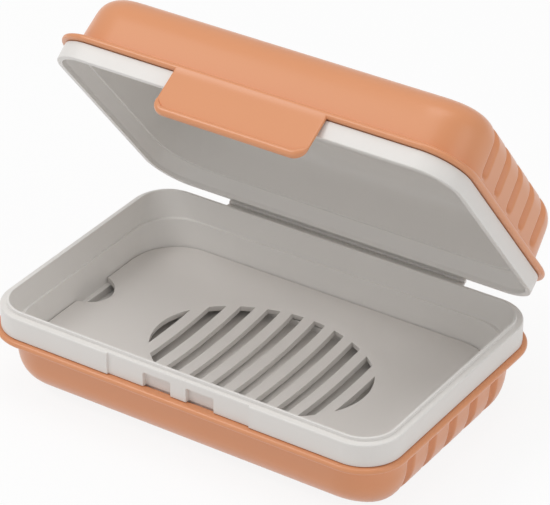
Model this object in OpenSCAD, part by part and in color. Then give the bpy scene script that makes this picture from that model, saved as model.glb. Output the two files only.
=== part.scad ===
// Travel soap box: a base and a hinged lid, each a coloured shell with a pale liner
// clipped inside it, a latch tab on the lid's front and a draining grid that lifts out.
// Millimetres. +X along the box, -Y its front, +Z up, underside of the base on Z = 0.

/* [Plan] */
// Long side of the pale bands
band_length = 110; // [95:1:130]
// Short side of the pale bands, front to back
band_width = 71; // [64:1:90]
// Corner radius of the bands, seen from above
band_corner = 9.8; // [8:0.1:12]
// Corner radius of the shell walls, measured on the outline of the bands
body_corner = 14.4; // [13.5:0.1:18]
// How far the shell walls stand in from the bands
body_inset = 0.8; // [0.5:0.1:1.2]

/* [Shells] */
// Wall of the coloured shells
shell_wall = 1.5; // [1.3:0.1:1.8]
// Upright neck of each shell behind its flange, before the draft begins
shell_neck = 2; // [1.8:0.1:3]
// Height of the rounded flange that carries each band
flange_height = 1.6; // [1.2:0.1:1.8]
// How far the flanges stand out from the bands
flange_outset = 1.2; // [1:0.05:1.3]
// Depth of the seat in each flange that the liner drops into
seat_depth = 0.6; // [0.4:0.1:0.8]
// How far the seat stands in from the band
seat_inset = 1.3; // [1:0.1:1.5]

/* [Base] */
// Height of the base shell, from its underside to the band
base_body_height = 16.8; // [15:0.1:22]
// Height of the base's pale band
base_band_height = 6; // [5.5:0.1:8]
// Draft of the base's walls, degrees
base_draft = 9; // [5:0.5:10]
// Radius between the base's walls and its underside
base_round = 9.5; // [8:0.1:10.5]

/* [Lid] */
// Height of the lid shell, from the band to its top
lid_body_height = 16.5; // [14:0.1:22]
// Height of the lid's pale band
lid_band_height = 4.5; // [4:0.1:6]
// Draft of the lid's walls, degrees
lid_draft = 4.3; // [2:0.1:6]
// Radius between the lid's walls and its top
lid_round = 8; // [7:0.1:10]
// How far the lid stands open in the position that is drawn, degrees
open_angle = 51.3; // [0:0.1:90]

/* [Grip grooves] */
// Grooves on each short end of the base and of the lid
groove_count = 5; // [3:1:6]
// Spacing of the grooves
groove_pitch = 9.4; // [8:0.1:9.5]
// Width of a groove at the surface
groove_width = 2.9; // [2:0.1:3.4]
// Depth of a groove
groove_depth = 0.8; // [0.5:0.1:0.9]
// From the band down to where the base's grooves begin
base_groove_start = 4.3; // [3.5:0.1:6]
// From the band up to where the lid's grooves begin
lid_groove_start = 3.8; // [3.5:0.1:6]
// How far round the edge the grooves run, 90 being the flat face, degrees
groove_end = 72; // [50:1:80]

/* [Liners] */
// Wall of the pale liners
liner_wall = 1.1; // [0.9:0.1:1.3]
// Air gap between a liner and its shell
liner_gap = 0.1; // [0.05:0.01:0.15]
// Width of the flat shoulder that the lid's rim rests on
shoulder_width = 1.57; // [1.5:0.01:1.8]
// Thickness of the lip inside the shoulder
lip_wall = 0.64; // [0.5:0.01:0.8]
// Height of the lip above the shoulder
lip_height = 0.9; // [0.6:0.1:1.4]
// From the shoulder down to the step inside the base
base_step_depth = 5.2; // [4.5:0.1:5.4]
// From the lid's rim up to the step inside the lid
lid_step_depth = 4.3; // [3.6:0.1:4.4]
// Clearance between the lid's rim and the lip
rim_clearance = 0.15; // [0.1:0.01:0.25]

/* [Latch] */
// Width of the latch tab
tab_width = 41; // [30:0.5:50]
// From the lid's rim down to the lower edge of the tab
tab_drop = 7.2; // [6.5:0.1:8]
// Thickness of the tab
tab_wall = 0.9; // [0.8:0.05:1]
// How far the tab leans outward, degrees
tab_lean = 7; // [6.5:0.5:9]
// Corner radius of the tab
tab_corner = 3.2; // [2:0.1:4]
// Width of the raised lip round the tab's lower edge
tab_lip = 1.2; // [0.8:0.05:1.5]
// How far the lip stands out from the tab
tab_lip_height = 0.7; // [0.4:0.05:1]
// Clearance in the tab's bend
bend_clearance = 0.06; // [0.05:0.01:0.1]
// Clearance at the two ends of the tab's bend
tab_side_gap = 0.3; // [0.2:0.05:0.5]
// Width of the shallow recess in the base's band
recess_width = 39.4; // [34:0.1:60]
// Depth of the recess
recess_depth = 0.5; // [0.3:0.05:0.6]
// Width of each of the two catch notches
notch_width = 7.5; // [6:0.1:9]
// Distance between the notches' centres
notch_pitch = 12; // [11:0.1:20]
// From the shoulder down to the top of the notches
notch_drop = 2; // [1.5:0.1:2.5]
// Depth of the notches behind the recess
notch_depth = 1.2; // [1:0.05:1.2]
// Height of the tab's catches
catch_height = 1.8; // [1.2:0.1:2.2]
// Clearance round the catches in their notches
catch_clearance = 0.25; // [0.1:0.01:0.4]
// Gap between the catches and the recess while the tab hangs free
catch_gap = 0.08; // [0.05:0.01:0.15]

/* [Hinge] */
// Length of the hinge
hinge_length = 68; // [50:1:74]
// From the back of the bands to the hinge's axis
hinge_setback = 1.65; // [1.5:0.05:2]
// Radius of the folded film
film_radius = 0.45; // [0.4:0.01:0.5]
// Running clearance round the film
film_clearance = 0.05; // [0.03:0.01:0.08]
// Half of the gap between the two hinge leaves when the box is shut
leaf_gap = 0.25; // [0.15:0.01:0.3]
// Height of each hinge leaf where it meets its band
leaf_root = 1.9; // [1.4:0.1:2.4]
// Height of the lid's hinge leaf above the hinge's axis
leaf_tip = 0.95; // [0.85:0.01:1.1]

/* [Draining grid] */
// From the shoulder down to the grid's rim
grid_drop = 12.5; // [11.5:0.1:13]
// Thickness of the grid
grid_wall = 1.5; // [1.3:0.1:1.7]
// Corner radius of the grid
grid_corner = 13; // [12:0.1:18]
// Clearance between the grid's rim and the liner's wall
grid_clearance = 0.15; // [0.1:0.01:0.4]
// Width of the ledge that the grid rests on
ledge_width = 1.2; // [0.8:0.1:1.6]
// How far the well in the tub's floor stands in from the grid's edge
well_inset = 9.5; // [8:0.5:10.5]
// Gap between the grid and the tub's floor
grid_floor_gap = 0.2; // [0.1:0.05:0.3]
// Gap between the grid's middle and the bottom of the well
well_gap = 0.9; // [0.5:0.1:1.2]
// How far the grid's middle is dished below its rim
dish_depth = 2.7; // [2.2:0.1:2.9]
// Width of the grid's flat rim
dish_rim = 2; // [1:0.1:3]
// Width of the sloping part of the dish
dish_slope = 10; // [8:0.5:10]
// Slots across the grid
slot_count = 10; // [6:2:12]
// Spacing of the slots
slot_pitch = 6.25; // [5:0.05:6.4]
// Width of a slot
slot_width = 3.3; // [2:0.1:3.6]
// Half the field of slots, front to back
field_reach = 21; // [17:0.5:22]
// Radius of the field's front and rear edges
field_arc = 34.5; // [32:0.5:40]
// Half the field of slots, end to end
field_half_length = 29.1; // [22:0.1:32]
// Radius of the field's two ends
field_end_arc = 21; // [20.5:0.5:24]
// Radius of the thumb notch
thumb_radius = 6.4; // [5:0.1:8]
// How far the thumb notch reaches in from the grid's edge
thumb_reach = 5.3; // [4:0.1:6]
// Place of the thumb notch along the left edge
thumb_offset = 1; // [-4:0.5:4]

/* [Hidden] */
$fn = 64;
// How far a cut runs past what it cuts.
over = 1;
// How far the foot of a drafted wall runs inside the edge radius that it joins.
foot_overlap = 0.005;
// A groove's straight part runs this far into its curved part, and is this much slimmer.
groove_lap = 0.3;
groove_step = 0.02;

shell_orange = [0.89, 0.60, 0.44];
liner_white = [0.87, 0.87, 0.86];
grid_grey = [0.74, 0.72, 0.70];

rim_z = base_body_height + base_band_height;
hinge_y = band_width / 2 + hinge_setback;
lid_top = lid_band_height + lid_body_height;
lining_inset = body_inset + shell_wall + liner_gap;
cavity_inset = lining_inset + liner_wall;
floor_gap = shell_wall + liner_gap;
floor_level = floor_gap + liner_wall;
lip_inset = shoulder_width + lip_wall;
lid_rim_wall = shoulder_width - rim_clearance;

grid_top = rim_z - grid_drop;
ledge_z = grid_top - grid_wall;
wall_run = base_body_height - shell_neck - ledge_z;
ledge_outer = cavity_inset + wall_run * tan(base_draft);
grid_inset = round((ledge_outer + grid_clearance) * 100) / 100;
ledge_inner = round((ledge_outer + ledge_width) * 100) / 100;
tub_floor = ledge_z - dish_depth * min((well_inset - dish_rim) / dish_slope, 0.9) - grid_floor_gap;
well_floor = ledge_z - dish_depth - well_gap;

flange_front = band_width / 2 + flange_outset;
tab_axis_y = -flange_front + tab_wall / 2;
tab_axis_z = lid_band_height + flange_height / 2;
tab_length = (tab_axis_z + tab_drop) / cos(tab_lean);
groove_radius = (pow(groove_width / 2, 2) + pow(groove_depth, 2)) / (2 * groove_depth);
groove_offset = groove_radius - groove_depth;

// Plain shapes

// Rounded rectangle that stands in from the bands' outline.
module plan_at(inset) {
    length = band_length - 2 * inset;
    width = band_width - 2 * inset;
    radius = band_corner - inset;
    rounded_plan(length, width, radius);
}

module rounded_plan(length, width, radius) {
    square([length - 2 * radius, width], center = true);
    square([length, width - 2 * radius], center = true);
    for (sx = [-1, 1], sy = [-1, 1])
        translate([sx * (length / 2 - radius), sy * (width / 2 - radius)]) circle(r = radius);
}

// Sweeps a section, drawn as distance out from the corner centres against height,
// round the rectangle that joins those centres.
module sweep_round(core_length, core_width) {
    for (turn = [0:3]) {
        half_x = (turn % 2 == 0 ? core_length : core_width) / 2;
        half_y = (turn % 2 == 0 ? core_width : core_length) / 2;
        rotate([0, 0, 90 * turn]) translate([half_x, half_y, 0]) {
            rotate([90, 0, 0]) linear_extrude(height = 2 * half_y) children();
            rotate_extrude(angle = 90) children();
        }
    }
}

// Distance from the corner centres to the centre of the edge radius.
function edge_centre(wall, height, neck, draft, round) =
    wall - (height - neck - round * (1 - sin(draft))) * tan(draft) - round * cos(draft);

// Half section of a body: flat face on height 0, edge radius, drafted wall, upright neck.
module body_section(wall, height, neck, draft, round) {
    centre = edge_centre(wall, height, neck, draft, round);
    foot = [centre + (round - foot_overlap) * cos(draft), round - (round - foot_overlap) * sin(draft)];
    polygon([[0, 0], [centre, 0], foot, [wall, height - neck], [wall, height], [0, height]]);
    intersection() {
        translate([centre, round]) circle(r = round);
        translate([centre, 0]) square(round);
    }
}

// Solid body with its flat face on height 0 and its open side up.
module body_solid(inset, height, neck, draft, round) {
    core_length = band_length - 2 * body_corner;
    core_width = band_width - 2 * body_corner;
    sweep_round(core_length, core_width)
        body_section(body_corner - inset, height, neck, draft, round);
    translate([-core_length / 2, -core_width / 2, 0]) cube([core_length, core_width, height]);
}

// Flange with a half round edge, on top of a body of the given height.
module flange(height) {
    bead = flange_height / 2;
    edge = flange_outset - bead;
    translate([0, 0, height - flange_height]) {
        linear_extrude(height = flange_height) plan_at(-edge);
        sweep_round(band_length - 2 * band_corner, band_width - 2 * band_corner)
            translate([band_corner + edge, bead]) intersection() {
                circle(r = bead);
                translate([0, -bead]) square([bead, flange_height]);
            }
    }
}

// One grip groove in the +X end: a round rod that follows the wall and the edge radius.
module groove(height, draft, round, start) {
    wall = body_corner - body_inset;
    centre = edge_centre(wall, height, shell_neck, draft, round);
    reach = round + groove_offset;
    foot_z = round - reach * sin(draft);
    rod_radius = groove_radius - groove_step;
    rod = (height - start - foot_z) / cos(draft) - rod_radius;
    translate([band_length / 2 - body_corner + centre, 0, round]) {
        rotate([0, groove_end, 0]) rotate([90, 0, 0])
            rotate_extrude(angle = groove_end - draft) translate([reach, 0]) circle(r = groove_radius);
        rotate([0, draft, 0]) translate([reach, 0, 0]) rotate_extrude() {
            translate([0, -groove_lap]) square([rod_radius, rod + groove_lap]);
            translate([0, rod]) intersection() {
                circle(r = rod_radius);
                square(rod_radius);
            }
        }
    }
}

module grooves(height, draft, round, start) {
    for (end = [0, 1], i = [0:groove_count - 1])
        rotate([0, 0, 180 * end])
            translate([0, (i - (groove_count - 1) / 2) * groove_pitch, 0])
                groove(height, draft, round, start);
}

// Coloured shell with its flat face on height 0.
module shell(height, draft, round, start) {
    difference() {
        union() {
            body_solid(body_inset, height, shell_neck, draft, round);
            flange(height);
        }
        translate([0, 0, shell_wall])
            body_solid(body_inset + shell_wall, height, shell_neck + shell_wall, draft, round - shell_wall);
        translate([0, 0, height - seat_depth]) linear_extrude(height = seat_depth + over)
            plan_at(seat_inset);
        grooves(height, draft, round, start);
    }
}

// Outside of a liner: lining wall, plug in the shell's seat, and band.
module liner_blank(body_height, band_height, draft, round) {
    plug_z = body_height - seat_depth;
    translate([0, 0, floor_gap])
        body_solid(lining_inset, plug_z - floor_gap, shell_neck - seat_depth, draft, round - floor_gap);
    translate([0, 0, plug_z]) linear_extrude(height = seat_depth) plan_at(seat_inset + liner_gap);
    translate([0, 0, body_height]) linear_extrude(height = band_height) plan_at(0);
}

// Space inside a liner's lining wall, open above, up to a step that lies this far past the band's edge.
module liner_cavity(body_height, step_rise, draft, round) {
    rise = step_rise + over;
    translate([0, 0, floor_level])
        body_solid(cavity_inset, body_height + rise - floor_level, shell_neck + rise, draft, round - floor_level);
}

// Puts what is drawn shut, with the rim on height 0, in the lid's open position.
module on_lid() {
    translate([0, hinge_y, rim_z]) rotate([-open_angle, 0, 0]) translate([0, -hinge_y, 0]) children();
}

// Turns what is drawn with the flat face down over, so that the lid's rim lies on height 0.
module turned_over() {
    translate([0, 0, lid_top]) rotate([180, 0, 0]) children();
}

// Extrudes a section drawn as (Y, Z) along X, centred.
module along_x(length) {
    translate([-length / 2, 0, 0]) rotate([90, 0, 90]) linear_extrude(height = length) children();
}

// The parts

module base_shell() {
    color(shell_orange) shell(base_body_height, base_draft, base_round, base_groove_start);
}

module base_liner() {
    color(liner_white) difference() {
        union() {
            liner_blank(base_body_height, base_band_height, base_draft, base_round);
            translate([0, 0, rim_z]) linear_extrude(height = lip_height) plan_at(shoulder_width);
            base_leaf();
        }
        translate([0, 0, rim_z - base_step_depth])
            linear_extrude(height = base_step_depth + lip_height + over) plan_at(lip_inset);
        intersection() {
            liner_cavity(base_body_height, base_band_height - base_step_depth, base_draft, base_round);
            translate([-band_length / 2, -band_width / 2, ledge_z])
                cube([band_length, band_width, rim_z]);
        }
        sump();
        translate([-band_length / 2, -band_width / 2, -over])
            cube([band_length, band_width, well_floor - liner_wall + over]);
        latch_recess();
    }
}

// Space under the grid, within the ledge that carries it: a flat floor round a well that takes the dish.
module sump() {
    well_edge = grid_inset + well_inset;
    translate([0, 0, tub_floor]) linear_extrude(height = ledge_z - tub_floor + over)
        rounded_plan(band_length - 2 * ledge_inner, band_width - 2 * ledge_inner, body_corner - ledge_inner);
    translate([0, 0, well_floor]) linear_extrude(height = tub_floor - well_floor + over)
        rounded_plan(band_length - 2 * well_edge, band_width - 2 * well_edge, grid_corner - well_inset);
}

// Recess and catch notches in the front of the base's band.
module latch_recess() {
    floor_y = -band_width / 2 + recess_depth;
    translate([-recess_width / 2, -band_width / 2 - over, base_body_height])
        cube([recess_width, over + recess_depth, base_band_height + over]);
    for (side = [-1, 1])
        translate([side * notch_pitch / 2 - notch_width / 2, floor_y - over, base_body_height])
            cube([notch_width, over + notch_depth, base_band_height - notch_drop]);
}

// Wedge from the back of the base's band to the film.
module base_leaf() {
    band_back = band_width / 2;
    translate([0, 0, rim_z]) along_x(hinge_length) difference() {
        polygon([[band_back - shoulder_width, -leaf_root], [band_back, -leaf_root],
                 [hinge_y, -film_radius], [hinge_y, -leaf_gap], [band_back - shoulder_width, -leaf_gap]]);
        translate([hinge_y, 0]) circle(r = film_radius);
    }
}

// Folded film on the hinge's axis, carried by the base's leaf.
module hinge_film() {
    color(liner_white) translate([0, 0, rim_z]) along_x(hinge_length)
        translate([hinge_y, 0]) circle(r = film_radius);
}

module drain_grid() {
    length = band_length - 2 * grid_inset;
    width = band_width - 2 * grid_inset;
    core_length = length - 2 * grid_corner;
    core_width = width - 2 * grid_corner;
    color(grid_grey) translate([0, 0, ledge_z]) difference() {
        union() {
            sweep_round(core_length, core_width) dish_section();
            translate([-core_length / 2, -core_width / 2, -dish_depth])
                cube([core_length, core_width, grid_wall]);
        }
        translate([0, 0, -dish_depth - over]) linear_extrude(height = grid_wall + dish_depth + 2 * over)
            intersection() {
                slot_field();
                slots();
            }
        translate([-length / 2 + thumb_reach - thumb_radius, thumb_offset, -dish_depth - over])
            cylinder(r = thumb_radius, h = grid_wall + dish_depth + 2 * over);
    }
}

// Flat rim, slope and lower middle of the grid, out from the corner centre.
module dish_section() {
    rim = grid_corner - dish_rim;
    foot = rim - dish_slope;
    polygon([[0, -dish_depth], [foot, -dish_depth], [rim, 0], [grid_corner, 0], [grid_corner, grid_wall],
             [rim, grid_wall], [foot, grid_wall - dish_depth], [0, grid_wall - dish_depth]]);
}

// Oval field bounded by four arcs.
module slot_field() {
    end_centre = field_half_length - field_end_arc;
    intersection() {
        translate([0, field_arc - field_reach]) circle(r = field_arc);
        translate([0, field_reach - field_arc]) circle(r = field_arc);
        union() {
            square([2 * end_centre, 2 * field_arc], center = true);
            for (side = [-1, 1]) translate([side * end_centre, 0]) circle(r = field_end_arc);
        }
    }
}

module slots() {
    for (i = [0:slot_count - 1])
        translate([(i - (slot_count - 1) / 2) * slot_pitch, 0])
            square([slot_width, 2 * field_arc], center = true);
}

module lid_shell() {
    color(shell_orange) on_lid() difference() {
        turned_over() shell(lid_body_height, lid_draft, lid_round, lid_groove_start);
        tab_seat();
    }
}

// Cut in the lid's flange for the root of the tab.
module tab_seat() {
    bend = tab_wall / 2 + bend_clearance;
    along_x(tab_width + 2 * tab_side_gap) {
        translate([tab_axis_y, tab_axis_z]) circle(r = bend);
        translate([-flange_front - over, lid_band_height - over])
            square([tab_axis_y + bend + flange_front + over, flange_height / 2 + over]);
    }
}

module lid_liner() {
    color(liner_white) on_lid() difference() {
        union() {
            turned_over() difference() {
                liner_blank(lid_body_height, lid_band_height, lid_draft, lid_round);
                liner_cavity(lid_body_height, lid_band_height - lid_step_depth, lid_draft, lid_round);
            }
            lid_leaf();
        }
        translate([0, 0, -over]) linear_extrude(height = lid_step_depth + over) plan_at(lid_rim_wall);
    }
}

// Wedge from the back of the lid's band to the film, hollowed where it turns round the film.
module lid_leaf() {
    band_back = band_width / 2;
    along_x(hinge_length) difference() {
        polygon([[band_back - shoulder_width, leaf_gap], [hinge_y, leaf_gap], [hinge_y, leaf_tip],
                 [band_back, leaf_root], [band_back - shoulder_width, leaf_root]]);
        translate([hinge_y, 0]) circle(r = film_radius + film_clearance);
    }
}

// Tab that hangs from the lid's flange, drawn hanging straight down from its bend.
module latch_tab() {
    color(shell_orange) on_lid() {
        translate([0, tab_axis_y, tab_axis_z]) rotate([-tab_lean, 0, 0]) {
            intersection() {
                rotate([90, 0, 0]) translate([0, 0, -tab_wall]) linear_extrude(height = 2 * tab_wall)
                    tab_outline(0);
                along_x(tab_width) tab_section();
            }
            translate([0, -tab_wall / 2, 0]) tab_edge();
        }
        catches();
    }
}

// Side view of the tab: straight, with a round bend on height 0.
module tab_section() {
    circle(r = tab_wall / 2);
    translate([-tab_wall / 2, -tab_length]) square([tab_wall, tab_length]);
}

// Front view of the tab, with its bend on height 0, drawn in from its edge by an inset.
module tab_outline(inset) {
    half = tab_width / 2 - inset;
    radius = tab_corner - inset;
    foot = inset - tab_length;
    translate([-half, foot + radius]) square([2 * half, tab_wall - foot - radius]);
    translate([radius - half, foot]) square([2 * (half - radius), radius]);
    for (side = [-1, 1]) translate([side * (half - radius), foot + radius]) circle(r = radius);
}

// Raised lip along the tab's lower edge and round its corners.
module tab_edge() {
    rotate([90, 0, 0]) linear_extrude(height = tab_lip_height) difference() {
        intersection() {
            tab_outline(0);
            translate([-tab_width / 2, -tab_length]) square([tab_width, tab_corner]);
        }
        tab_outline(tab_lip);
    }
}

// Two catches on the back of the tab, level with the notches in the base's band.
module catches() {
    catch_top = -notch_drop - catch_clearance;
    catch_foot = catch_top - catch_height;
    tip_y = -band_width / 2 + recess_depth - catch_gap;
    back = tab_axis_y;
    top_y = back - (tab_axis_z - catch_top) * tan(tab_lean);
    foot_y = back - (tab_axis_z - catch_foot) * tan(tab_lean);
    for (side = [-1, 1]) translate([side * notch_pitch / 2, 0, 0])
        along_x(notch_width - 2 * catch_clearance)
            polygon([[top_y, catch_top], [tip_y, catch_top],
                     [tip_y, catch_top - catch_height / 2], [foot_y, catch_foot]]);
}

base_shell();
base_liner();
hinge_film();
drain_grid();
lid_shell();
lid_liner();
latch_tab();
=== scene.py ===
import bpy
import numpy as np
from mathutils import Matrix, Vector


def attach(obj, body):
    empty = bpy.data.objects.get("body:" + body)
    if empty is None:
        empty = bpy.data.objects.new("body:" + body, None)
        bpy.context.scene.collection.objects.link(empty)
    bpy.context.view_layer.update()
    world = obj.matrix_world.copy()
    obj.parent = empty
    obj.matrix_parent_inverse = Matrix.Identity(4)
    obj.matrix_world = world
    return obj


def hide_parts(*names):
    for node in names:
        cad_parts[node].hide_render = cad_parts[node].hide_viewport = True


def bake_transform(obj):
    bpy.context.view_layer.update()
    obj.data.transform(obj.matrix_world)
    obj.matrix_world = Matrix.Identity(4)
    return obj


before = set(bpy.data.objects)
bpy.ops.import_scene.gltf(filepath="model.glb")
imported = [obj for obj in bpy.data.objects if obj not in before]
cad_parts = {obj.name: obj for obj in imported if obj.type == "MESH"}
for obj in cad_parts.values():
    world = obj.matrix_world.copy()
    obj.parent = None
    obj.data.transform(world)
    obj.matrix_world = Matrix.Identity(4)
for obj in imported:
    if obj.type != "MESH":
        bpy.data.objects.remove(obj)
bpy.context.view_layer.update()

# Base shell
# The coloured lower half, one injection moulding with a drafted wall, a large edge radius under it,
# a half round flange at the top and five grip grooves in each short end. It stands on its flat underside.

LENGTH, WIDTH = 110.0, 71.0
BODY_CORNER, BAND_CORNER = 14.4, 9.8
BODY_INSET = 0.8
SHELL_WALL = 1.5
FLANGE_HEIGHT, FLANGE_OUTSET = 1.6, 1.2
SEAT_DEPTH, SEAT_INSET = 0.6, 1.3
BASE_HEIGHT = 16.8
BASE_FRONT_EDGE = (10.0, 11.55, 9.7)
BASE_END_EDGE = (8.1, 6.91, 10.3)
BASE_GROOVES = (-18.7, -9.5, -0.4, 8.8, 18.1)
BASE_GROOVE_RUN = (6.0, 14.7)
GROOVE_DEPTH, GROOVE_HALF_WIDTH = 1.2, 1.85
GROOVE_POWER = 1.4
FACE_STEPS = 5
SMOOTHING_PASSES = 24
ORANGE = (0.76, 0.318, 0.147)


def bend_path(corners, legs):
    """Section line through corners (inset, height, plan radius, reach in, reach out, steps). A corner with
    reach is the curve corner + in * (1 - sin t) + out * (1 - cos t) for t from 0 to 90 degrees, and each leg
    between two corners has a point close to either end and a number of even ones between."""
    corners = np.array(corners, float)
    place = corners[:, :3]
    arcs = []
    for k in range(len(corners)):
        reach_in, reach_out, steps = corners[k, 3:]
        if steps == 0:
            arcs.append(place[k:k + 1])
            continue
        back, ahead = place[k - 1] - place[k], place[k + 1] - place[k]
        back = back / np.hypot(*back[:2])
        ahead = ahead / np.hypot(*ahead[:2])
        t = np.linspace(0, np.pi / 2, int(steps) + 1)[:, None]
        arcs.append(place[k] + back * reach_in * (1 - np.sin(t)) + ahead * reach_out * (1 - np.cos(t)))
    line = [arcs[0]]
    for before, after, count in zip(arcs, arcs[1:], legs):
        start, end = before[-1], after[0]
        near = min(0.06 / max(np.hypot(*(end - start)[:2]), 1e-6), 1 / 6)
        share = np.concatenate([[near], np.linspace(0, 1, count + 2)[1:-1], [1 - near]])[:, None]
        line += [start + (end - start) * share, after]
    return np.concatenate(line)


def moulded_wall(height, top, inset, edge, corner, counts):
    """Outside of a moulded body from its flat face up to top: a quarter ellipse with the given reach across
    and up, then a wall that leans out by the draft, with the joint between them smoothed by averaging
    each point with its neighbours."""
    draft, across, up = edge
    slope = np.tan(np.radians(draft))
    turn = np.linspace(0, np.pi / 2, counts[0])
    foot = inset + (height - up) * slope
    curve = np.stack([foot + across * (1 - np.sin(turn)), up * (1 - np.cos(turn))], 1)
    rise = np.linspace(up, top, counts[1])[1:]
    wall = np.stack([inset + (height - rise) * slope, rise], 1)
    line = np.concatenate([curve, wall])
    for _ in range(SMOOTHING_PASSES):
        line[3:-3] = (line[2:-4] + 2 * line[3:-3] + line[4:-2]) / 4
    return np.column_stack([line, np.full(len(line), corner)])


def walk_round(front, end, bend):
    """Stations once round a rounded rectangle, anticlockwise from the front left: share of the way to the
    corner centres (two numbers from -1 to 1) and the outward direction, in four straights and four bends."""
    straights = [np.asarray(front), np.linspace(-1, 1, end), np.linspace(-1, 1, 24), np.linspace(-1, 1, end)]
    shares, normals = [], []
    for side, run in enumerate(straights):
        angle = np.radians(90 * side - 90)
        out = np.array([np.cos(angle), np.sin(angle)])
        along = np.array([-out[1], out[0]])
        shares.append(run[:, None] * along + out)
        normals.append(np.repeat(out[None], len(run), 0))
        turn = angle + np.linspace(0, np.pi / 2, bend + 1)[1:-1]
        shares.append(np.repeat((along + out)[None], len(turn), 0))
        normals.append(np.stack([np.cos(turn), np.sin(turn)], 1))
    return np.concatenate(shares), np.concatenate(normals)


def carry_round(front_line, end_line, stations, dent=None):
    """Surface of a section line carried round the plan. At each station the section is the front one times
    sin squared of the outward angle plus the end one times cos squared, drawn at its inset from the outline,
    so that x = share * (half length - radius) + (radius - inset) * direction, and the same for y.
    A dent moves each point by its depth against the section's own outward direction."""
    share, out = stations
    blend = out[:, 1] ** 2
    line = front_line[:, None] * blend[None, :, None] + end_line[:, None] * (1 - blend)[None, :, None]
    inset, height, radius = line[..., 0], line[..., 1], line[..., 2]

    def place():
        x = share[:, 0] * (LENGTH / 2 - radius) + (radius - inset) * out[:, 0]
        y = share[:, 1] * (WIDTH / 2 - radius) + (radius - inset) * out[:, 1]
        return np.stack([x, y, height], -1)

    if dent is not None:
        depth, lean = dent(place(), line)
        inset = inset + depth * lean[..., 0]
        height = height + depth * lean[..., 1]
    return place()


def section_lean(line):
    """Unit direction into the material at each point of carried sections, as (inset, height): the section's
    running direction turned a quarter."""
    run = np.gradient(line[..., :2], axis=0)
    run = run / np.maximum(np.linalg.norm(run, axis=-1, keepdims=True), 1e-9)
    return np.stack([run[..., 1], -run[..., 0]], -1)


def closed_rings(rings):
    """Vertices and faces of rings of points joined by quads, with a middle point closing the first ring and
    the last."""
    rows, count = rings.shape[:2]
    grid = np.arange(rows * count).reshape(rows, count)
    ahead = np.roll(grid, -1, 1)
    quads = np.stack([grid[:-1], ahead[:-1], ahead[1:], grid[1:]], -1).reshape(-1, 4)
    first, last = rows * count, rows * count + 1
    bottom = np.stack([np.full(count, first), ahead[0], grid[0]], -1)
    top = np.stack([np.full(count, last), grid[-1], ahead[-1]], -1)
    middle = np.stack([(ring.min(0) + ring.max(0)) / 2 for ring in (rings[0], rings[-1])])
    return np.concatenate([rings.reshape(-1, 3), middle]), quads.tolist() + bottom.tolist() + top.tolist()


def make_piece(name, parts, finish, crease=35):
    """One mesh object, in metres, from (vertices, faces) lists in millimetres, shaded smooth except where
    two faces meet at more than the crease angle."""
    points, faces, start = [], [], 0
    for vertices, polygons in parts:
        points.append(np.asarray(vertices, float) / 1000)
        faces += [[start + v for v in polygon] for polygon in polygons]
        start += len(vertices)
    mesh = bpy.data.meshes.new(name)
    mesh.from_pydata(np.concatenate(points).tolist(), [], faces)
    mesh.shade_smooth()
    mesh.set_sharp_from_angle(angle=np.radians(crease))
    mesh.materials.append(finish)
    piece = bpy.data.objects.new(name, mesh)
    bpy.context.scene.collection.objects.link(piece)
    return piece


def moulded_plastic(name, colour, tint, rough, grain, coat):
    """Satin moulded plastic: a faint cloudy change of colour from one large noise, roughness from a middling
    one, and a very fine etched grain as bump. The colour mixes between the colour and its tint."""
    finish = bpy.data.materials.new(name)
    finish.use_nodes = True
    tree = finish.node_tree
    shader = tree.nodes["Principled BSDF"]
    place = tree.nodes.new("ShaderNodeTexCoord")

    def noise(scale, detail):
        node = tree.nodes.new("ShaderNodeTexNoise")
        node.inputs["Scale"].default_value = scale
        node.inputs["Detail"].default_value = detail
        tree.links.new(place.outputs["Object"], node.inputs["Vector"])
        return node

    mix = tree.nodes.new("ShaderNodeMix")
    mix.data_type = "RGBA"
    mix.inputs["A"].default_value = (*colour, 1)
    mix.inputs["B"].default_value = (*tint, 1)
    tree.links.new(noise(38, 3).outputs["Fac"], mix.inputs["Factor"])
    tree.links.new(mix.outputs["Result"], shader.inputs["Base Color"])
    spread = tree.nodes.new("ShaderNodeMapRange")
    spread.inputs["To Min"].default_value = rough - 0.05
    spread.inputs["To Max"].default_value = rough + 0.05
    tree.links.new(noise(160, 4).outputs["Fac"], spread.inputs["Value"])
    tree.links.new(spread.outputs["Result"], shader.inputs["Roughness"])
    bump = tree.nodes.new("ShaderNodeBump")
    bump.inputs["Strength"].default_value = grain
    bump.inputs["Distance"].default_value = 0.00004
    tree.links.new(noise(2600, 2).outputs["Fac"], bump.inputs["Height"])
    tree.links.new(bump.outputs["Normal"], shader.inputs["Normal"])
    shader.inputs["Specular IOR Level"].default_value = 0.4
    shader.inputs["Coat Weight"].default_value = coat
    shader.inputs["Coat Roughness"].default_value = 0.3
    return finish


def groove_dent(centres, run):
    """Depth of the grip grooves: a cosine squared valley round each groove's middle line, which follows the
    section between two distances from the flat face's edge, so that both ends are round. Depth is
    D cos(pi d / 2w) to a power that keeps the shoulders crisp."""
    def dent(points, line):
        step = np.linalg.norm(np.diff(line[..., :2], axis=0), axis=-1)
        along = np.concatenate([np.zeros((1, line.shape[1])), np.cumsum(step, 0)])
        along = along - along[FACE_STEPS]
        past = np.maximum(np.maximum(run[0] - along, along - run[1]), 0)
        depth = np.zeros(along.shape)
        for centre in centres:
            distance = np.hypot(points[..., 1] - centre, past) / GROOVE_HALF_WIDTH
            valley = np.cos(np.pi / 2 * np.minimum(distance, 1)) ** GROOVE_POWER
            depth = np.maximum(depth, GROOVE_DEPTH * valley)
        on_end = np.abs(points[..., 0]) > LENGTH / 2 - BODY_CORNER
        return depth * on_end, section_lean(line)
    return dent


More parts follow.
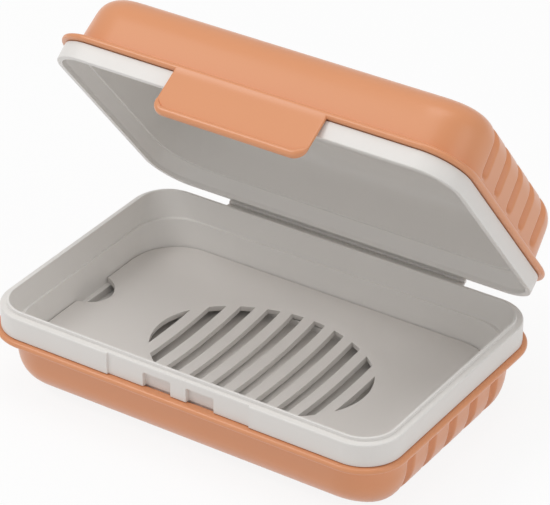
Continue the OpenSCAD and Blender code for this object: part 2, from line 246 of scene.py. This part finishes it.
def shell_rings(height, front_edge, end_edge, grooves, groove_run):
    """A shell with its flat face down: the border of that face, outside wall, flange with a half round edge,
    seat for the liner, and the inside at one wall's thickness."""
    wall_top = height - FLANGE_HEIGHT
    inside = BODY_INSET + SHELL_WALL
    bead = FLANGE_HEIGHT / 2 - 0.04
    lines = []
    for edge in (front_edge, end_edge):
        outside = moulded_wall(height, wall_top, BODY_INSET, edge, BODY_CORNER, (44, 18))
        rest = bend_path([
            (outside[-1, 0] - 0.1, wall_top, BODY_CORNER, 0, 0, 0),
            (-FLANGE_OUTSET, wall_top, BAND_CORNER, bead, bead, 7),
            (-FLANGE_OUTSET, height, BAND_CORNER, bead, bead, 7),
            (SEAT_INSET, height, BAND_CORNER, 0.12, 0.12, 3),
            (SEAT_INSET, height - SEAT_DEPTH, BAND_CORNER, 0, 0, 0),
            (inside, height - SEAT_DEPTH, BODY_CORNER, 0, 0, 0),
            (inside + 1.2, SHELL_WALL, BODY_CORNER, 6, 6, 6),
            (BODY_CORNER - 0.5, SHELL_WALL, BODY_CORNER, 0, 0, 0),
        ], [1, 0, 1, 0, 0, 4, 0])
        border = np.full((FACE_STEPS, 3), [0, 0, BODY_CORNER])
        border[:, 0] = np.linspace(BODY_CORNER - 0.2, outside[0, 0], FACE_STEPS + 1)[:-1]
        lines.append(np.concatenate([border, outside, rest]))
    stations = walk_round(np.linspace(-1, 1, 30), 118, 18)
    return carry_round(lines[0], lines[1], stations, groove_dent(grooves, groove_run))


orange = moulded_plastic("shell_orange", ORANGE, [c * 0.97 for c in ORANGE], 0.36, 0.25, 0.35)
base_shell = make_piece("base_half_shell", [closed_rings(
    shell_rings(BASE_HEIGHT, BASE_FRONT_EDGE, BASE_END_EDGE, BASE_GROOVES, BASE_GROOVE_RUN))], orange)
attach(base_shell, "base")
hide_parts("base_shell")

# Base liner
# The pale tub that drops into the base shell and shows as a band above its flange: shoulder and thin lip on
# top, a small step inside, a ledge for the grid. Its front has the recess and the two notches of the latch,
# and its back carries one leaf of the hinge.

RIM_HEIGHT = 22.8
LIP_INNER, LIP_HEIGHT = 2.21, 0.9
SHOULDER = 1.57
BASE_STEP = 17.1
CAVITY_INSET, GRID_WALL_CORNER = 3.5, 17.6
LEDGE_HEIGHT, LEDGE_OUTER, LEDGE_INNER = 8.8, 4.45, 5.65
TUB_FLOOR, TUB_UNDERSIDE = 6.7, 4.0
WELL_FLOOR, WELL_HALF, WELL_CORNER = 5.2, (40.9, 21.4), 3.5
SEAM = 0.16
LATCH_MIDDLE = 0.7
RECESS_HALF, RECESS_DEPTH = 19.7, 0.5
NOTCH_MIDDLES, NOTCH_HALF, NOTCH_TOP, NOTCH_DEPTH, NOTCH_ROUND = (-6.0, 6.0), 3.8, 20.8, 1.2, 0.45
HINGE_Y, HINGE_HALF = 37.15, 34.0
WHITE = (0.815, 0.791, 0.761)


def ramp(distance, width):
    """Smooth rise from 0 to 1 as a distance goes from minus half the width to half the width."""
    t = np.clip(distance / width + 0.5, 0, 1)
    return t * t * (3 - 2 * t)


def latch_dent(points, line):
    """Recess and notches in the front of the band. The recess is a depth between its two ends, and a notch
    more depth inside a rectangle with round corners, by signed distance. The depth fades to nothing
    towards the lip on top and towards the plug underneath."""
    x, z = points[..., 0] - LATCH_MIDDLE, points[..., 2]
    depth = RECESS_DEPTH * ramp(RECESS_HALF - np.abs(x), 0.14)
    for middle in NOTCH_MIDDLES:
        across = np.abs(x - middle) - NOTCH_HALF + NOTCH_ROUND
        above = z - NOTCH_TOP + NOTCH_ROUND
        outside = np.hypot(np.maximum(across, 0), np.maximum(above, 0))
        outside = outside + np.minimum(np.maximum(across, above), 0)
        depth = depth + NOTCH_DEPTH * ramp(NOTCH_ROUND - outside, 0.16)
    fade = np.where(z > NOTCH_TOP + 0.5, SHOULDER - 0.12, 2.0)
    depth = depth * np.clip(1 - line[..., 0] / fade, 0, None) * (z >= BASE_HEIGHT - 1e-6)
    depth = depth * (points[..., 1] < -WIDTH / 2 + 3)
    return depth, np.broadcast_to([1.0, 0.0], depth.shape + (2,))


def plan_ring(spread, height, stations):
    """Outline of the well in the tub's floor, made larger by the spread, at one height."""
    share, out = stations
    corner = WELL_CORNER + spread
    core = np.array(WELL_HALF) - WELL_CORNER
    return np.column_stack([share * core + corner * out, np.full(len(out), height)])


def leaf_bar(section, half, shrink=0.12):
    """Bar along X with a closed section drawn as (Y, Z), anticlockwise seen from +X. Its end rings are drawn
    in towards the section's middle, so that the ends look rounded, and then close on that middle."""
    section = np.array(section, float)
    middle = section.mean(0)
    rings = []
    for x, scale in ((-half, 1 - shrink), (-half + 0.25, 1), (half - 0.25, 1), (half, 1 - shrink)):
        ring = middle + (section - middle) * scale
        rings.append(np.column_stack([np.full(len(ring), x), ring]))
    vertices = np.concatenate(rings + [[[-half, *middle]], [[half, *middle]]])
    count, first, last = len(section), 4 * len(section), 4 * len(section) + 1
    grid = np.arange(4 * count).reshape(4, count)
    ahead = np.roll(grid, -1, 1)
    quads = np.stack([grid[:-1], ahead[:-1], ahead[1:], grid[1:]], -1)[..., ::-1].reshape(-1, 4)
    left_end = [(first, b, a) for a, b in zip(grid[0], ahead[0])]
    right_end = [(last, a, b) for a, b in zip(grid[3], ahead[3])]
    return vertices, quads[:, ::-1].tolist() + left_end + right_end


seam_steps = np.array([-0.35, -0.2, -0.1, -0.07, -0.035, 0, 0.035, 0.07, 0.1, 0.2, 0.35])
seams = [s * RECESS_HALF for s in (-1, 1)] + [m + s * NOTCH_HALF for m in NOTCH_MIDDLES for s in (-1, 1)]
front_half = LENGTH / 2 - BAND_CORNER
front_x = np.concatenate([np.linspace(-front_half, front_half, 31)]
                         + [LATCH_MIDDLE + s + seam_steps for s in seams])
front_x = np.unique(np.round(front_x, 3))
band_line = bend_path([
    (12.8, TUB_UNDERSIDE, BODY_CORNER, 0, 0, 0),
    (4.9, TUB_UNDERSIDE, BODY_CORNER, 1.5, 1.5, 3),
    (2.4, 14.8, BODY_CORNER, 0, 0, 0),
    (2.4, 16.2, BODY_CORNER, 0, 0, 0),
    (2.0, 16.2, BAND_CORNER, 0, 0, 0),
    (2.0, BASE_HEIGHT + SEAM, BAND_CORNER, 0, 0, 0),
    (0, BASE_HEIGHT + SEAM, BAND_CORNER, 0.14, 0.14, 4),
    (0, NOTCH_TOP - 0.7, BAND_CORNER, 0, 0, 0),
    (0, NOTCH_TOP + 0.25, BAND_CORNER, 0, 0, 0),
    (0, RIM_HEIGHT, BAND_CORNER, 0.38, 0.38, 6),
    (SHOULDER, RIM_HEIGHT, BAND_CORNER, 0.06, 0.06, 3),
    (SHOULDER, RIM_HEIGHT + LIP_HEIGHT, BAND_CORNER, 0.16, 0.16, 4),
    (LIP_INNER, RIM_HEIGHT + LIP_HEIGHT, BAND_CORNER, 0.16, 0.16, 4),
    (CAVITY_INSET - 0.5, BASE_STEP + 0.06, 13.6, 0.1, 0.08, 3),
    (CAVITY_INSET, BASE_STEP, BODY_CORNER, 0.1, 0.14, 4),
    (LEDGE_OUTER, LEDGE_HEIGHT, GRID_WALL_CORNER, 0.15, 0.15, 3),
    (LEDGE_INNER, LEDGE_HEIGHT, GRID_WALL_CORNER, 0.2, 0.2, 3),
    (LEDGE_INNER, TUB_FLOOR, GRID_WALL_CORNER, 0.3, 0.3, 3),
    (LEDGE_INNER + 1, TUB_FLOOR, GRID_WALL_CORNER, 0, 0, 0),
], [0, 4, 0, 0, 0, 2, 6, 10, 3, 1, 1, 0, 6, 0, 8, 0, 1, 0])
tub_stations = walk_round(front_x / front_half, 14, 16)
band_rings = np.concatenate([carry_round(band_line, band_line, tub_stations, latch_dent)] + [
    plan_ring(spread, height, tub_stations)[None] for spread, height in (
        (0.2, TUB_FLOOR), (0.06, TUB_FLOOR - 0.06), (0, TUB_FLOOR - 0.2), (0, WELL_FLOOR + 0.1),
        (-0.1, WELL_FLOOR))])
base_leaf = leaf_bar([(33.9, 20.9), (35.5, 20.9), (37.0, 22.2), (37.15, 22.35), (37.15, 22.5), (37.05, 22.55),
                      (33.9, 22.55)], HINGE_HALF)
white = moulded_plastic("liner_white", WHITE, [c * 0.975 for c in WHITE], 0.42, 0.2, 0.08)
base_liner = make_piece("base_tub", [closed_rings(band_rings), base_leaf], white)
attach(base_liner, "base")
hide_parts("base_liner")

# Hinge film
# The thin strip between the two leaves, moulded with them and folded on the hinge's axis. The solid of the
# frame has its shape, so it stays and only gets the liner's plastic.

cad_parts["hinge_film"].data.materials.clear()
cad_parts["hinge_film"].data.materials.append(white)

# Draining grid
# A loose plate that rests on the tub's ledge and lifts out by its thumb notch. It is dished towards an oval
# field of slots, all with softly rounded edges, and is moulded in the liner's plastic. Its colour is that
# white painted darker, as painted shade for the shade the plate lies in inside the tub.

GRID_TOP, GRID_WALL = 10.3, 1.5
GRID_HALF = (LENGTH / 2 - 4.58, WIDTH / 2 - 4.58)
GRID_CORNER = 13.0
DISH_DEPTH, DISH_RIM, DISH_SLOPE = 1.6, 1.0, 12.0
BOWL_DEPTH, BOWL_REACH = 1.6, (30.0, 23.0)
SLOT_PITCH, SLOT_WIDTH, SLOT_COUNT = 6.25, 3.3, 10
FIELD_HALF, FIELD_REACH = 29.1, 21.0
FIELD_TIP_ANGLE = np.radians(1.6)
THUMB_RADIUS, THUMB_REACH, THUMB_MIDDLE = 6.4, 5.3, 1.0
EDGE_ROWS, BAND_ROWS = 14, 18
# The liner's white painted darker: painted shade for the shade inside the tub, not a plastic of its own.
SHADED_LINER_WHITE = (0.745, 0.712, 0.68)


def grid_columns():
    """Columns of the grid from left to right: X, half height of its middle band, middle of the band, and
    whether a hole fills the band up to the next column. The band is the oval field of slots. Columns follow
    the corner bends, the notch and the oval's two ends at even angles, and lie on both sides of each slot."""
    half_x, _ = GRID_HALF
    bend_start = half_x - GRID_CORNER
    bends = bend_start + GRID_CORNER * np.sin(np.linspace(0, np.pi / 2, 15))
    notch_x = -half_x + THUMB_REACH - THUMB_RADIUS
    start = np.arccos((-half_x - notch_x) / THUMB_RADIUS)
    notch = notch_x + THUMB_RADIUS * np.cos(np.linspace(start, np.radians(5), 18))
    outer_slot = (SLOT_COUNT - 1) / 2 * SLOT_PITCH - SLOT_WIDTH / 2
    end_slot = FIELD_HALF * np.cos(np.linspace(np.arccos(outer_slot / FIELD_HALF), FIELD_TIP_ANGLE, 12))
    x = [notch, -end_slot, end_slot, bends, -bends[bends < -notch[-1] - 0.4]]
    x += [np.linspace(-bend_start, -FIELD_HALF - 0.6, 7)[1:],
          np.linspace(FIELD_HALF + 0.6, bend_start, 7)[:-1]]
    for i in range(1, SLOT_COUNT - 1):
        middle = (i - (SLOT_COUNT - 1) / 2) * SLOT_PITCH
        x.append(middle + SLOT_WIDTH * np.linspace(-0.5, 0.5, 5))
    gap = SLOT_PITCH - SLOT_WIDTH
    x.append(np.concatenate([(i - SLOT_COUNT / 2) * SLOT_PITCH + gap * np.array([-0.17, 0.17])
                             for i in range(1, SLOT_COUNT)]))
    x = np.unique(np.round(np.concatenate(x), 4))
    band = FIELD_REACH * np.sqrt(np.clip(1 - (x / FIELD_HALF) ** 2, 0, None))
    tip = FIELD_REACH * np.sin(FIELD_TIP_ANGLE)
    away = np.abs(x) > end_slot[-1] + 1e-3
    band[away] = tip + (7 - tip) * ramp(np.abs(x[away]) - end_slot[-1] - 3, 6)
    in_notch = x <= notch[-1] + 1e-3
    band[in_notch] = np.sqrt(THUMB_RADIUS ** 2 - (x[in_notch] - notch_x) ** 2)
    near = (x > notch[-1] + 1e-3) & (x < -FIELD_HALF - 5)
    band[near] = np.minimum(band[near], band[in_notch][-1] + 2 * (x[near] - notch[-1]))
    middle = THUMB_MIDDLE * ramp(-FIELD_HALF - 6 - x, 8)
    centre = (x[:-1] + x[1:]) / 2
    phase = np.abs((centre / SLOT_PITCH) % 1 - 0.5) * SLOT_PITCH
    hole = (phase < SLOT_WIDTH / 2) & (np.abs(centre) < end_slot[-1])
    return x, band, middle, np.append(hole | (centre < notch[-1]), False)


def dished_plate():
    """Top face of the grid: rows from edge to edge of the rounded outline in each column, with the middle
    rows on the hole's two ends. Height is the rim's less the dish depth times a smooth rise of the distance
    in from the outline, less a shallow oval bowl of the form depth * (1 - (x/a)^2 - (y/b)^2). Quads in a hole
    are left out."""
    x, band, middle, hole = grid_columns()
    half_x, half_y = GRID_HALF
    reach = np.clip(np.abs(x) - half_x + GRID_CORNER, 0, GRID_CORNER)
    edge = half_y - GRID_CORNER + np.sqrt(GRID_CORNER ** 2 - reach ** 2)
    outer = np.linspace(0, 1, EDGE_ROWS + 1)[:, None]
    inner = np.linspace(0, 1, BAND_ROWS + 1)[1:-1, None]
    low, high = middle - band, middle + band
    y = np.concatenate([-edge + outer * (low + edge), low + inner * (high - low),
                        high + outer * (edge - high)])
    x = np.broadcast_to(x, y.shape)
    core = np.stack([np.abs(x) - half_x + GRID_CORNER, np.abs(y) - half_y + GRID_CORNER])
    away = np.hypot(*np.maximum(core, 0)) + np.minimum(core.max(0), 0)
    inside = GRID_CORNER - away
    z = GRID_TOP - DISH_DEPTH * ramp(inside - DISH_RIM - DISH_SLOPE / 2, DISH_SLOPE)
    bowl = (x / BOWL_REACH[0]) ** 2 + (y / BOWL_REACH[1]) ** 2
    z = z - BOWL_DEPTH * np.maximum(1 - bowl, 0)
    points = np.stack([x, y, z], -1)
    index = np.arange(y.size).reshape(y.shape)
    quads = np.stack([index[:-1, :-1], index[:-1, 1:], index[1:, 1:], index[1:, :-1]], -1)
    keep = np.ones(quads.shape[:2], bool)
    keep[EDGE_ROWS:EDGE_ROWS + BAND_ROWS] = ~hole[None, :-1]
    return points.reshape(-1, 3), quads[keep].tolist()


def drop_loose(vertices, faces):
    """Leaves out the vertices that no face uses."""
    faces = np.array(faces)
    used, back = np.unique(faces, return_inverse=True)
    return vertices[used], back.reshape(faces.shape).tolist()


# The grid's finish is the liner's plastic with its white painted darker as shade.
shaded_grid_plastic = moulded_plastic("shaded_grid_plastic", SHADED_LINER_WHITE, [c * 0.975 for c in SHADED_LINER_WHITE], 0.5, 0.2, 0.05)
drain_grid = make_piece("draining_grid", [drop_loose(*dished_plate())], shaded_grid_plastic)
wall = drain_grid.modifiers.new("plate_wall", "SOLIDIFY")
wall.thickness = GRID_WALL / 1000
wall.offset = -1
soft_edge = drain_grid.modifiers.new("soft_edges", "BEVEL")
soft_edge.width = 0.00035
soft_edge.segments = 3
soft_edge.limit_method = "ANGLE"
soft_edge.angle_limit = np.radians(40)
soft_edge.harden_normals = True
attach(drain_grid, "grid")
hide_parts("drain_grid")

# Lid shell
# The coloured upper half, moulded like the base: flange, drafted wall, edge radius and five grip grooves in
# each short end that run over the edge. It is worked out with its flat face down, turned over onto the
# closed box and then swung open about the hinge.

LID_HEIGHT, LID_BAND = 16.5, 4.5
LID_TOP = LID_HEIGHT + LID_BAND
LID_FRONT_EDGE = (4.3, 10.0, 7.8)
LID_END_EDGE = (4.3, 6.1, 6.1)
LID_GROOVES = (-18.8, -9.3, 0.1, 9.5, 18.8)
LID_GROOVE_RUN = (1.3, 15.0)
OPEN_ANGLE = 51.3


def swing_open(points):
    """Points of the closed lid, with heights up from its rim, turned about the hinge's axis by the open
    angle: y = h + (y - h) cos a + z sin a, z = rim - (y - h) sin a + z cos a."""
    x, y, z = np.moveaxis(np.asarray(points, float), -1, 0)
    angle = np.radians(OPEN_ANGLE)
    y = y - HINGE_Y
    return np.stack([x, HINGE_Y + y * np.cos(angle) + z * np.sin(angle),
                     RIM_HEIGHT - y * np.sin(angle) + z * np.cos(angle)], -1)


def turn_over(points):
    """Half a turn about X that puts the flat face on top and the rim on height 0."""
    return points * [1, -1, -1] + [0, 0, LID_TOP]


lid_rings = shell_rings(LID_HEIGHT, LID_FRONT_EDGE, LID_END_EDGE, LID_GROOVES, LID_GROOVE_RUN)
lid_shell = make_piece("lid_half_shell", [closed_rings(swing_open(turn_over(lid_rings)))], orange)
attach(lid_shell, "lid")
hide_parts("lid_shell")

# Lid liner
# The pale lining of the lid, clipped into its shell: a plain band with a flat rim that meets the base's
# shoulder outside its lip, a small step inside and a smooth round hollow. Its back carries the hinge's other
# leaf.

LID_RIM_WALL = 1.42
RIM_GAP = 0.03
LID_STEP = 4.4
LID_FLOOR = 2.7
LID_CAVITY_EDGES = ((4.3, 7.6, 5.6), (4.3, 5.4, 5.4))

lid_lines = []
for draft, across, up in LID_CAVITY_EDGES:
    depth = LID_HEIGHT - LID_FLOOR
    hollow = moulded_wall(depth, depth - 0.4, CAVITY_INSET, (draft, across, up), BODY_CORNER, (24, 10))
    hollow = hollow + [0, LID_FLOOR, 0]
    around = bend_path([
        (12.8, 1.6, BODY_CORNER, 0, 0, 0),
        (3.2, 1.6, BODY_CORNER, 6, 6, 6),
        (2.4, 15.9, BODY_CORNER, 0, 0, 0),
        (1.4, 15.9, BAND_CORNER, 0, 0, 0),
        (1.4, LID_HEIGHT + SEAM, BAND_CORNER, 0, 0, 0),
        (0, LID_HEIGHT + SEAM, BAND_CORNER, 0.14, 0.14, 4),
        (0, LID_TOP - RIM_GAP, BAND_CORNER, 0.22, 0.22, 5),
        (LID_RIM_WALL, LID_TOP - RIM_GAP, BAND_CORNER, 0.12, 0.12, 5),
        (LID_RIM_WALL + 0.06, LID_TOP - LIP_HEIGHT - 0.25, BAND_CORNER, 0.1, 0.1, 2),
        (CAVITY_INSET - 0.6, LID_TOP - LID_STEP + 0.05, 13.6, 0.1, 0.08, 3),
        (CAVITY_INSET, LID_TOP - LID_STEP, BODY_CORNER, 0.1, 0.14, 4),
        (hollow[-1, 0], hollow[-1, 1] + 0.1, BODY_CORNER, 0, 0, 0),
    ], [0, 3, 0, 0, 0, 3, 1, 1, 4, 0, 0])
    lid_lines.append(np.concatenate([around, hollow[::-1]]))
lid_band = carry_round(lid_lines[0], lid_lines[1], walk_round(np.linspace(-1, 1, 14), 12, 16))
lid_leaf = leaf_bar([(34.2, 0.25), (37.05, 0.25), (37.15, 0.35), (37.15, 0.85), (37.0, 1.0), (35.5, 1.9),
                     (34.2, 1.9)], HINGE_HALF)
lid_liner = make_piece("lid_lining", [closed_rings(swing_open(turn_over(lid_band))),
                                      (swing_open(lid_leaf[0]), lid_leaf[1])], white)
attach(lid_liner, "lid")
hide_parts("lid_liner")

# Latch tab
# The flap moulded to the front of the lid's flange. It bends at its root, leans out a little, ends in a
# finger lip that curls round both lower corners, and has two catches behind for the notches in the base.

TAB_HALF, TAB_WALL, TAB_CORNER = 20.5, 0.9, 3.2
TAB_AXIS_Y, TAB_AXIS_Z = -36.25, 5.3
TAB_LENGTH, TAB_LEAN = 12.6, 8.2
LIP_WIDTH, LIP_PROUD, LIP_RISE = 1.7, 0.8, 3.6
CATCH_HALF, CATCH_TOP, CATCH_FOOT, CATCH_TIP = 3.5, -2.25, -4.05, -35.08


def tab_line(distance):
    """Middle line of the tab at a distance down from its root, with its outward direction: straight down
    at first, then leaning out by an angle that rises smoothly over 2 mm. Returns y, z, ny, nz."""
    fine = np.linspace(0, TAB_LENGTH + 1, 400)
    lean = np.radians(TAB_LEAN) * ramp(fine - 1.2, 2)
    step = fine[1]
    y = TAB_AXIS_Y - np.cumsum(np.sin(lean)) * step
    z = TAB_AXIS_Z - np.cumsum(np.cos(lean)) * step
    lean = np.interp(distance, fine, lean)
    return np.interp(distance, fine, y), np.interp(distance, fine, z), -np.cos(lean), np.sin(lean)


def tab_plate():
    """Closed plate: columns across the tab, each cut to the rounded outline's length, with points on the
    front and the back at half the wall from the middle line, less near the edges so that they are round."""
    turn = np.sin(np.linspace(0, np.pi / 2, 9))
    half = np.concatenate([np.linspace(0, TAB_HALF - TAB_CORNER, 8)[:-1],
                           TAB_HALF - TAB_CORNER + TAB_CORNER * turn[:-1],
                           TAB_HALF - np.array([0.12, 0.05, 0])])
    half = np.unique(np.round(half, 4))
    x = np.concatenate([-half[:0:-1], half])
    corner = np.clip(np.abs(x) - TAB_HALF + TAB_CORNER, 0, TAB_CORNER)
    foot = TAB_LENGTH - TAB_CORNER + np.sqrt(TAB_CORNER ** 2 - corner ** 2)
    share = np.concatenate([np.linspace(0, 0.35, 10), np.linspace(0.35, 1, 8)[1:-1]])[:, None]
    down = np.concatenate([share * (foot - 0.3), foot - np.array([[0.3], [0.12], [0.04], [0]])])
    thin = np.concatenate([np.ones(len(share) + 1), [0.9, 0.65, 0.35]])[:, None]
    side = np.interp(TAB_HALF - np.abs(x), [0, 0.05, 0.12, 0.3], [0.35, 0.65, 0.9, 1])
    y, z, ny, nz = tab_line(down)
    offset = TAB_WALL / 2 * thin * side
    x = np.broadcast_to(x, y.shape) + LATCH_MIDDLE
    front = np.stack([x, y + ny * offset, z + nz * offset], -1)
    back = np.stack([x, y - ny * offset, z - nz * offset], -1)
    size = y.size
    index = np.arange(size).reshape(y.shape)
    quads = np.stack([index[:-1, :-1], index[1:, :-1], index[1:, 1:], index[:-1, 1:]], -1).reshape(-1, 4)
    rim = np.concatenate([index[0, ::-1], index[1:, 0], index[-1, 1:], index[-2:0:-1, -1]])
    ahead = np.roll(rim, -1)
    walls = np.stack([rim, rim + size, ahead + size, ahead], -1)
    faces = quads.tolist() + (quads[:, ::-1] + size).tolist() + walls.tolist()
    return np.concatenate([front.reshape(-1, 3), back.reshape(-1, 3)]), faces


def finger_lip():
    """Closed ridge carried along the lower outline of the tab, up both sides to the lip's rise. Its section
    stands up steeply from the tab's face and rolls over to the edge; it shrinks to a point at both ends."""
    radius = TAB_CORNER
    rise = np.linspace(LIP_RISE - radius, 0, 8)
    turn = np.linspace(0, np.pi / 2, 13)[1:]
    left = np.concatenate([np.stack([np.full(8, -TAB_HALF), TAB_LENGTH - radius - rise], 1), np.stack(
        [-TAB_HALF + radius * (1 - np.cos(turn)), TAB_LENGTH - radius + radius * np.sin(turn)], 1)])
    inward = np.concatenate([np.repeat([[1.0, 0.0]], 8, 0), np.stack([np.cos(turn), -np.sin(turn)], 1)])
    flat = np.linspace(-TAB_HALF + radius, TAB_HALF - radius, 10)[1:-1]
    outline = np.concatenate([left, np.stack([flat, np.full(8, TAB_LENGTH)], 1), left[::-1] * [-1, 1]])
    inward = np.concatenate([inward, np.repeat([[0.0, -1.0]], 8, 0), inward[::-1] * [-1, 1]])
    section = np.array([(1.0, -0.1), (0.99, 0.45), (0.93, 0.82), (0.82, 1.0), (0.62, 1.03), (0.4, 0.93),
                        (0.2, 0.68), (0.06, 0.3), (0.0, -0.1), (0.02, -0.6), (0.5, -0.6), (0.98, -0.6)])
    along = np.concatenate([[0], np.cumsum(np.linalg.norm(np.diff(outline, axis=0), axis=1))])
    ends = np.minimum(along, along[-1] - along)
    grow = np.sin(np.pi / 2 * np.clip((ends + 0.15) / 3.2, 0, 1))
    across = section[None, :, 0] * LIP_WIDTH * (0.35 + 0.65 * grow[:, None])
    lift = section[None, :, 1]
    proud = np.where(lift > 0, lift * grow[:, None], lift * 0.5) * LIP_PROUD
    x = outline[:, None, 0] + inward[:, None, 0] * across
    y, z, ny, nz = tab_line(outline[:, None, 1] + inward[:, None, 1] * across)
    offset = TAB_WALL / 2 + proud
    rings = np.stack([x + LATCH_MIDDLE, y + ny * offset, z + nz * offset], -1)
    rows, count = rings.shape[:2]
    grid = np.arange(rows * count).reshape(rows, count)
    ahead = np.roll(grid, -1, 1)
    quads = np.stack([grid[:-1], ahead[:-1], ahead[1:], grid[1:]], -1).reshape(-1, 4)
    return rings.reshape(-1, 3), quads.tolist() + [grid[0, ::-1].tolist(), grid[-1].tolist()]


def catch_block(middle):
    """One catch behind the tab: a wedge with a flat top, from the tab's back to its tip."""
    top, foot = CATCH_TOP, CATCH_FOOT
    back = TAB_AXIS_Y - (TAB_AXIS_Z - np.array([top, foot])) * np.tan(np.radians(TAB_LEAN))
    section = [(back[0], top), (back[1], foot), (CATCH_TIP, top - 0.9), (CATCH_TIP, top - 0.1),
               (CATCH_TIP - 0.1, top)]
    vertices, faces = leaf_bar(section, CATCH_HALF)
    return vertices + [LATCH_MIDDLE + middle, 0, 0], faces


tab_parts = [tab_plate(), finger_lip(), catch_block(NOTCH_MIDDLES[0]), catch_block(NOTCH_MIDDLES[1])]
latch_tab = make_piece("latch_flap", [(swing_open(points), faces) for points, faces in tab_parts], orange)
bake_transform(latch_tab)
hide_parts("latch_tab")

# Floor, light and camera
# A white studio sweep that keeps a faint shadow under the box, four soft lamps and a pale world, and
# the camera at the photograph's place: a long lens, a little to the right of the front and looking down.

CAMERA_PLACE = (0.34827, -0.51787, 0.41971)
CAMERA_AZIMUTH, CAMERA_ELEVATION = 33.61, 31.43
FOCAL_SHARE = 3139.61 / 550
FLOOR_GREY, SEEN_FLOOR_GREY, FLOOR_GLOW = 0.85, 0.9, 0.88
WORLD_STRENGTH = 0.5
LAMP_AIM = (0, 0, 0.04)
LAMPS = (
    ("top_softbox", (0, 0.05, 1.0), 0.6, 2.4),
    ("left_top_softbox", (-0.5, -0.4, 0.8), 0.3, 2.4),
    ("right_softbox", (1.0, 0, 0.4), 0.6, 1.5),
    ("front_softbox", (-0.4, -1.0, 0.1), 0.6, 0.6),
)

floor_mesh = bpy.data.meshes.new("studio_floor")
floor_mesh.from_pydata([(-4, -4, 0), (4, -4, 0), (4, 4, 0), (-4, 4, 0)], [], [(0, 1, 2, 3)])
floor = bpy.data.objects.new("studio_floor", floor_mesh)
bpy.context.scene.collection.objects.link(floor)
sweep = bpy.data.materials.new("studio_white")
sweep.use_nodes = True
tree = sweep.node_tree
tree.nodes.clear()
shades = []
for grey in (FLOOR_GREY, SEEN_FLOOR_GREY):
    shades.append(tree.nodes.new("ShaderNodeBsdfDiffuse"))
    shades[-1].inputs["Color"].default_value = (grey, grey, grey, 1)
glow = tree.nodes.new("ShaderNodeEmission")
glow.inputs["Color"].default_value = (1, 1, 1, 1)
shown = tree.nodes.new("ShaderNodeMixShader")
shown.inputs["Fac"].default_value = FLOOR_GLOW
tree.links.new(shades[1].outputs[0], shown.inputs[1])
tree.links.new(glow.outputs[0], shown.inputs[2])
light_path = tree.nodes.new("ShaderNodeLightPath")
seen = tree.nodes.new("ShaderNodeMath")
seen.operation = "MAXIMUM"
tree.links.new(light_path.outputs["Is Camera Ray"], seen.inputs[0])
tree.links.new(light_path.outputs["Is Glossy Ray"], seen.inputs[1])
mix = tree.nodes.new("ShaderNodeMixShader")
tree.links.new(seen.outputs[0], mix.inputs["Fac"])
tree.links.new(shades[0].outputs[0], mix.inputs[1])
tree.links.new(shown.outputs[0], mix.inputs[2])
surface = tree.nodes.new("ShaderNodeOutputMaterial")
tree.links.new(mix.outputs[0], surface.inputs["Surface"])
floor_mesh.materials.append(sweep)

world = bpy.data.worlds.new("studio_world")
bpy.context.scene.world = world
world.use_nodes = True
world.node_tree.nodes["Background"].inputs["Color"].default_value = (1, 1, 1, 1)
world.node_tree.nodes["Background"].inputs["Strength"].default_value = WORLD_STRENGTH

for name, place, size, watts in LAMPS:
    light = bpy.data.lights.new(name, "AREA")
    light.shape = "SQUARE"
    light.size = size
    light.energy = watts
    lamp = bpy.data.objects.new(name, light)
    lamp.location = place
    lamp.rotation_euler = (Vector(LAMP_AIM) - Vector(place)).to_track_quat("-Z", "Y").to_euler()
    bpy.context.scene.collection.objects.link(lamp)

camera_data = bpy.data.cameras.new("camera")
camera_data.sensor_width = 36
camera_data.lens = 36 * FOCAL_SHARE
camera_data.clip_start, camera_data.clip_end = 0.05, 20
camera = bpy.data.objects.new("camera", camera_data)
camera.location = CAMERA_PLACE
camera.rotation_euler = (np.radians(90 - CAMERA_ELEVATION), 0, np.radians(CAMERA_AZIMUTH))
bpy.context.scene.collection.objects.link(camera)
bpy.context.scene.camera = camera
bpy.context.scene.view_settings.view_transform = "Standard"
